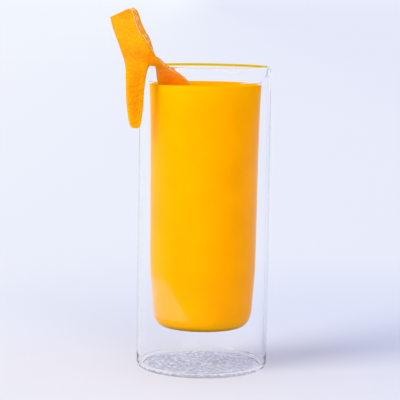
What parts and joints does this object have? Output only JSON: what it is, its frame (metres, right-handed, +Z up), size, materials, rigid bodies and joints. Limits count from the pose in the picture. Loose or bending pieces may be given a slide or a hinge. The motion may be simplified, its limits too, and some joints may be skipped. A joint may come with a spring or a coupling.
{
  "type": "glass of orange juice",
  "caption": "Tall straight double-walled glass filled with orange juice, with a slit strip of orange peel hung over the rim.",
  "frame": {"origin": "centre of the flat underside of the glass, on the glass's axis", "axes": "+Z up along the glass's axis towards the rim; the front of the picture looks along +Y, and the peel hangs over the rim at the front left, towards -X and -Y"},
  "size_m": [0.0827, 0.0676, 0.185],
  "materials": {
    "glass": "clear polished borosilicate",
    "vent_plug": "clear sealing drop",
    "juice": "opaque wet juice",
    "peel": "waxy dimpled citrus skin"
  },
  "bodies": {
    "root": {"glass": "glass", "vent_plug": "vent_plug", "juice": "juice", "peel": "peel"}
  },
  "joints": []
}
